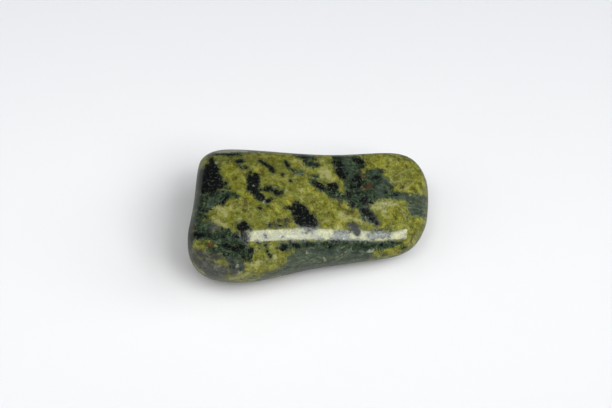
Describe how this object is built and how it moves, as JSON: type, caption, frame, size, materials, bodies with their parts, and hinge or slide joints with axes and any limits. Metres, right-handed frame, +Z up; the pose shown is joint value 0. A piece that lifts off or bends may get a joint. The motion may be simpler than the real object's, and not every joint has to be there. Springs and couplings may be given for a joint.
{
  "type": "tumbled serpentine stone",
  "caption": "Tumbled and polished serpentine pebble, a rounded wedge with a straight ridge along its front, that rests on a small worn flat.",
  "frame": {"origin": "middle of the stone's outline seen from above, in the plane of the flat that it rests on", "axes": "+X along the length towards the thin end, -Y towards the front with the straight ridge, +Z up"},
  "size_m": [0.0356, 0.024, 0.0134],
  "materials": {
    "serpentine": "polished"
  },
  "bodies": {
    "root": {"stone": "serpentine"}
  },
  "joints": []
}
